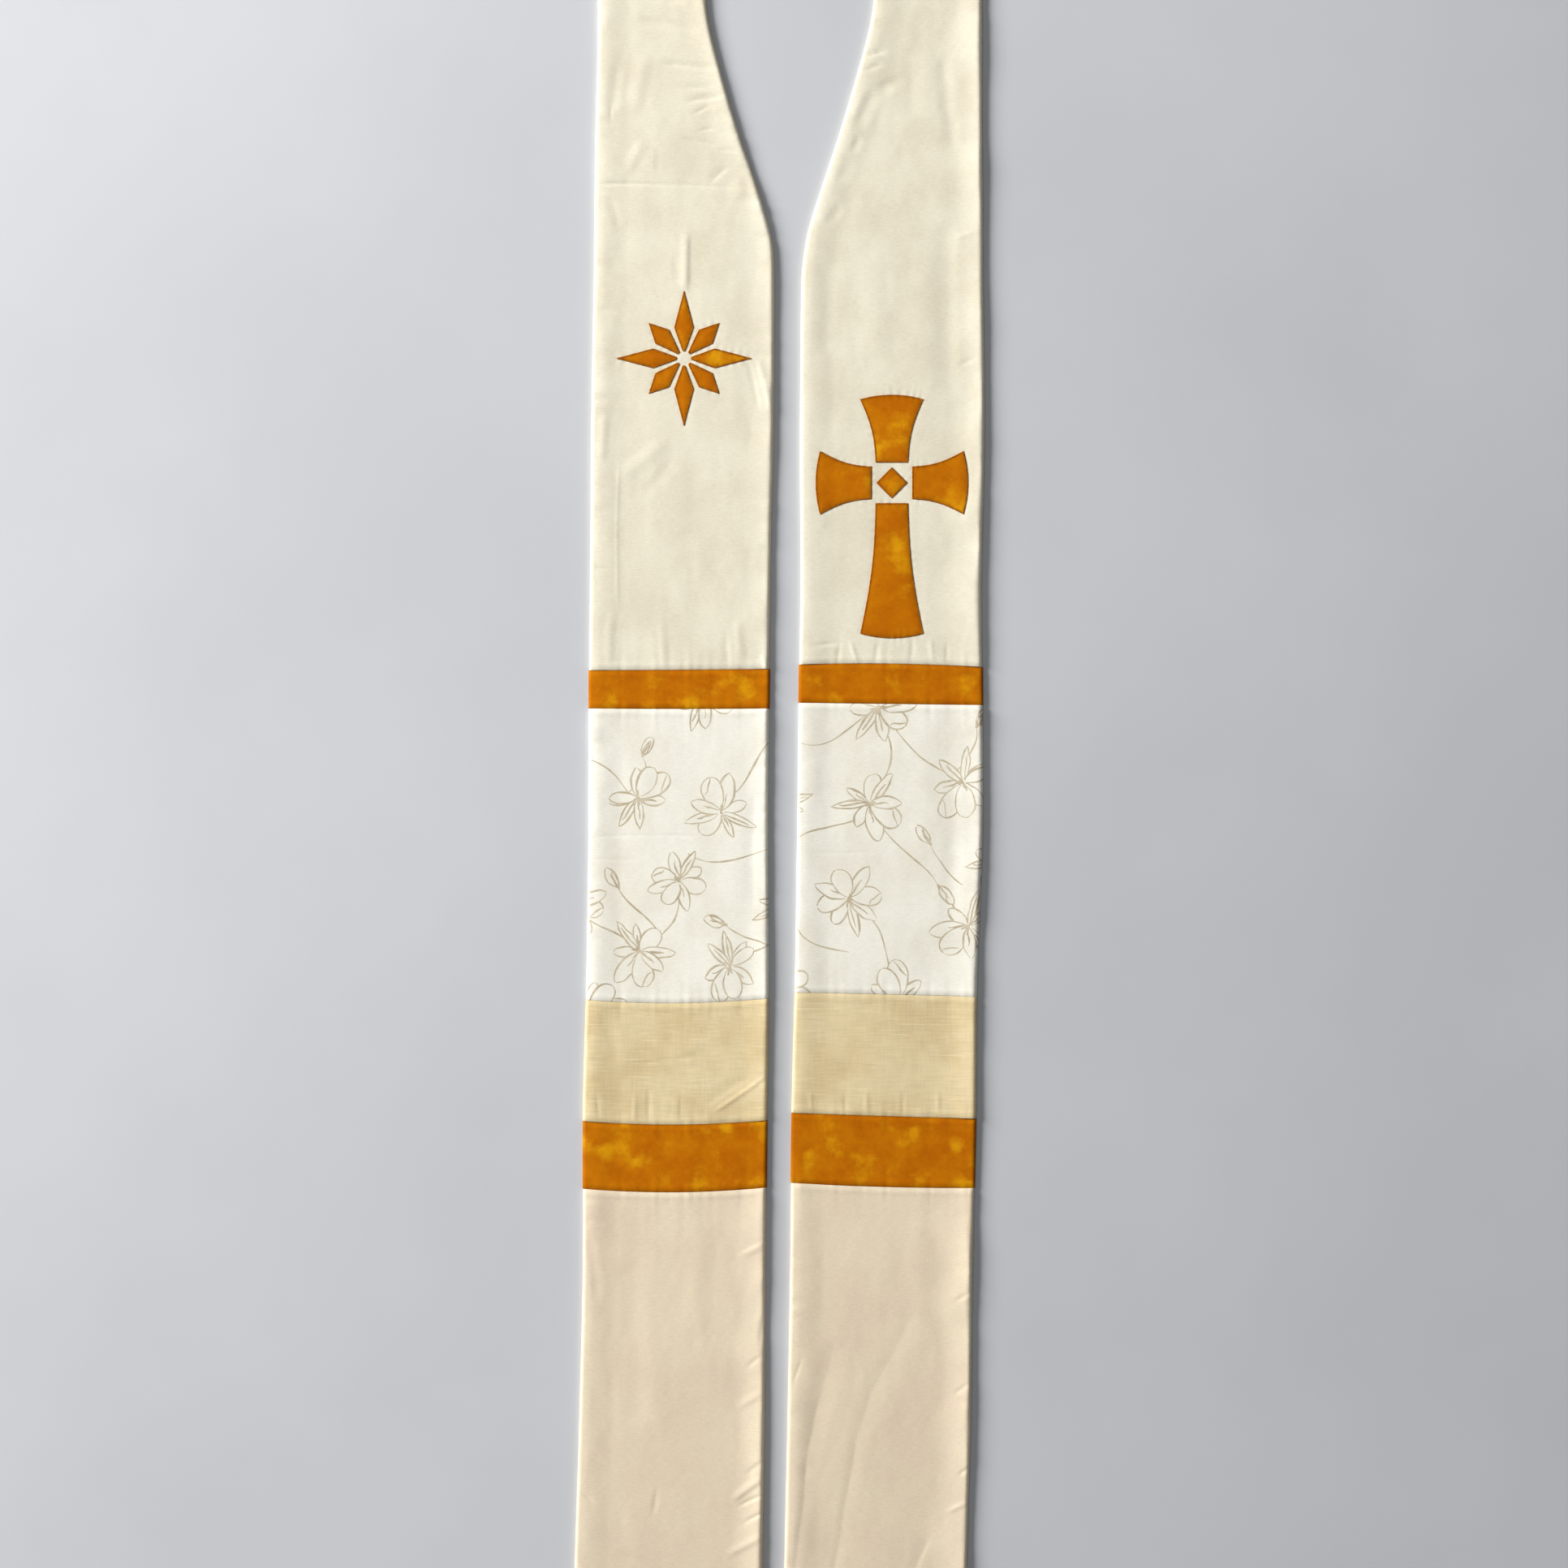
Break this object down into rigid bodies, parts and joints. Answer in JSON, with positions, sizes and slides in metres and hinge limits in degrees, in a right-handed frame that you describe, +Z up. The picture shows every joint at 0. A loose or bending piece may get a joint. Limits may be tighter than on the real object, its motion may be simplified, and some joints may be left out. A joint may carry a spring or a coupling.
{
  "type": "clergy stole",
  "caption": "Pieced cotton stole of flat bands joined behind the neck, laid face up, with cross bands and a star and cross sewn on.",
  "frame": {"origin": "the middle of the laid stole's footprint, on the surface that it lies on", "axes": "+Z up from the surface through the face side, +Y along the bands towards the neck, +X towards the band with the cross"},
  "size_m": [0.2822, 1.31, 0.0038],
  "materials": {
    "cream_cotton": "plain woven cotton, matt",
    "gold_cotton": "mottled dyed cotton, matt",
    "print_cotton": "white cotton printed with taupe line flowers, matt",
    "linen": "slubbed linen, matt",
    "muslin": "plain woven muslin, matt"
  },
  "bodies": {
    "root": {"left_upper_panel": "cream_cotton", "left_narrow_gold_band": "gold_cotton", "left_print_panel": "print_cotton", "left_linen_panel": "linen", "left_wide_gold_band": "gold_cotton", "left_lower_panel": "muslin", "right_upper_panel": "cream_cotton", "right_narrow_gold_band": "gold_cotton", "right_print_panel": "print_cotton", "right_linen_panel": "linen", "right_wide_gold_band": "gold_cotton", "right_lower_panel": "muslin", "star_point_1": "gold_cotton", "star_point_2": "gold_cotton", "star_point_3": "gold_cotton", "star_point_4": "gold_cotton", "star_point_5": "gold_cotton", "star_point_6": "gold_cotton", "star_point_7": "gold_cotton", "star_point_8": "gold_cotton", "cross_centre": "gold_cotton", "cross_arm_top": "gold_cotton", "cross_arm_left": "gold_cotton", "cross_arm_foot": "gold_cotton", "cross_arm_right": "gold_cotton"}
  },
  "joints": []
}
